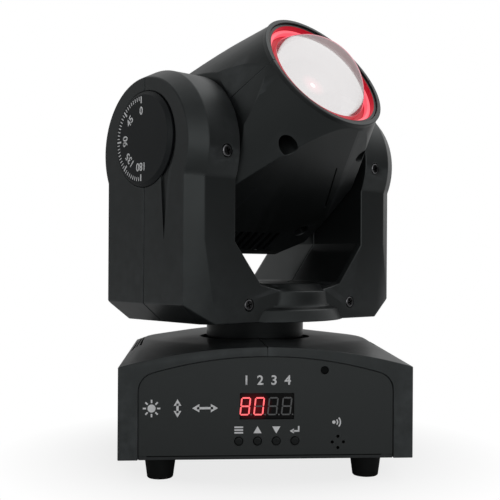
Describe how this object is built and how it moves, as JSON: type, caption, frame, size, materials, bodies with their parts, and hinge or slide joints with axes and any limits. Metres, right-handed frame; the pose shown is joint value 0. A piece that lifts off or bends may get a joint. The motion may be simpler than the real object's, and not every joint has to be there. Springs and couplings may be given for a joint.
{
  "type": "moving head light",
  "caption": "Compact moving head stage light with a charcoal plastic base, panning yoke and tilting head, a large convex lens in a red halo and a small display with push buttons.",
  "frame": {"origin": "On the pan axis at the underside of the base plate, midway between the two bracket holes.", "axes": "-Z is the way the bracket bolts leave the base plate, -Y is the front panel with the display, +X is to the right as seen from the front."},
  "size_m": [0.1826, 0.1716, 0.2604],
  "materials": {
    "shell_plastic": "satin charcoal plastic with fine texture, edges worn a little lighter",
    "panel_plastic": "smooth satin black panel with pale print",
    "neck_plastic": "dark moulded plastic with a soft shine",
    "socket_plastic": "black socket moulding",
    "rubber": "dull black rubber",
    "plate_steel": "black powder coated sheet",
    "sheet_steel": "zinc plated sheet with brush marks",
    "screw_steel": "bright plated steel with fine scratches",
    "motor_steel": "black motor body with bare steel faces",
    "aluminium": "bare milled aluminium",
    "board_green": "green solder mask",
    "pin_brass": "plated brass pins",
    "lens_glass": "clear moulded lens",
    "halo_glow": "glowing red light ring",
    "window_dark": "dark smoked window"
  },
  "bodies": {
    "base": {"base_bottom_plate": "plate_steel", "base_cover": "shell_plastic", "front_panel": "panel_plastic", "rear_panel": "panel_plastic", "display_module": "window_dark", "control_board": "board_green", "mic_capsule": "aluminium", "sensor_window": "window_dark", "power_inlet": "socket_plastic", "dmx_in_socket": "socket_plastic", "dmx_out_socket": "socket_plastic", "socket_pins": "pin_brass", "rubber_feet": "rubber", "base_screws": "screw_steel", "power_supply": "sheet_steel", "main_board": "board_green", "pan_bridge": "sheet_steel", "pan_bearing": "screw_steel", "pan_motor": "motor_steel", "pan_belt": "rubber"},
    "yoke": {"yoke_front_shell": "shell_plastic", "yoke_rear_shell": "shell_plastic", "yoke_frame": "sheet_steel", "arm_disc_left": "panel_plastic", "arm_disc_right": "panel_plastic", "pan_shaft": "neck_plastic", "pan_pulley": "aluminium", "tilt_bearing_left": "screw_steel", "tilt_bearing_right": "screw_steel", "tilt_motor": "motor_steel", "tilt_belt": "rubber", "yoke_screws": "screw_steel"},
    "head": {"head_upper_shell": "shell_plastic", "head_lower_shell": "shell_plastic", "front_bezel": "neck_plastic", "halo_ring": "halo_glow", "front_lens": "lens_glass", "lens_holder": "neck_plastic", "heat_sink": "aluminium", "led_board": "board_green", "condenser_lens": "lens_glass", "optics_plate": "sheet_steel", "colour_motor": "motor_steel", "gobo_motor": "motor_steel", "fan_frame": "neck_plastic", "head_rear_cover": "shell_plastic", "trunnion_left": "aluminium", "trunnion_right": "aluminium", "tilt_pulley": "aluminium", "head_screws": "screw_steel"},
    "button_menu": {"button_menu": "rubber"},
    "button_up": {"button_up": "rubber"},
    "button_down": {"button_down": "rubber"},
    "button_enter": {"button_enter": "rubber"},
    "pan_motor_pulley": {"pan_motor_pulley": "aluminium"},
    "tilt_motor_pulley": {"tilt_motor_pulley": "aluminium"},
    "colour_wheel": {"colour_wheel": "aluminium"},
    "gobo_wheel": {"gobo_wheel": "sheet_steel"},
    "fan_rotor": {"fan_rotor": "neck_plastic"}
  },
  "joints": [
    {"name": "pan", "type": "hinge", "parent": "base", "child": "yoke", "pos_m": [0, 0, 0.034], "axis": [0, 0, 1], "range_deg": [-307.7, 232.3]},
    {"name": "tilt", "type": "hinge", "parent": "yoke", "child": "head", "pos_m": [0, 0, 0.1722], "axis": [-0.7912, -0.6115, 0], "range_deg": [-35.4, 144.6]},
    {"name": "pan_drive", "type": "hinge", "parent": "base", "child": "pan_motor_pulley", "pos_m": [-0.052, 0, 0.04], "axis": [0, 0, 1], "range_deg": [-1851.2, 1398.8]},
    {"name": "tilt_drive", "type": "hinge", "parent": "yoke", "child": "tilt_motor_pulley", "pos_m": [-0.06251, -0.04831, 0.1202], "axis": [-0.7912, -0.6115, 0], "range_deg": [-133.7, 530.8]},
    {"name": "fan_spin", "type": "hinge", "parent": "head", "child": "fan_rotor", "pos_m": [-0.02094, 0.02709, 0.14787], "axis": [0.4985, -0.6449, 0.5793], "continuous": true},
    {"name": "colour_turn", "type": "hinge", "parent": "head", "child": "colour_wheel", "pos_m": [-0.0035, 0.00452, 0.18715], "axis": [0.4985, -0.6449, 0.5793], "continuous": true},
    {"name": "gobo_turn", "type": "hinge", "parent": "head", "child": "gobo_wheel", "pos_m": [0.00749, -0.00968, 0.16188], "axis": [0.4985, -0.6449, 0.5793], "continuous": true},
    {"name": "button_menu_press", "type": "slide", "parent": "base", "child": "button_menu", "axis": [0, 1, 0], "range_m": [0, 0.0006], "stiffness_N_per_m": 250, "springref_m": -0.0004},
    {"name": "button_up_press", "type": "slide", "parent": "base", "child": "button_up", "axis": [0, 1, 0], "range_m": [0, 0.0006], "stiffness_N_per_m": 250, "springref_m": -0.0004},
    {"name": "button_down_press", "type": "slide", "parent": "base", "child": "button_down", "axis": [0, 1, 0], "range_m": [0, 0.0006], "stiffness_N_per_m": 250, "springref_m": -0.0004},
    {"name": "button_enter_press", "type": "slide", "parent": "base", "child": "button_enter", "axis": [0, 1, 0], "range_m": [0, 0.0006], "stiffness_N_per_m": 250, "springref_m": -0.0004}
  ],
  "couplings": [
    {"joint": "pan_drive", "follows": "pan", "ratio": 6},
    {"joint": "tilt_drive", "follows": "tilt", "ratio": 3.6364}
  ]
}
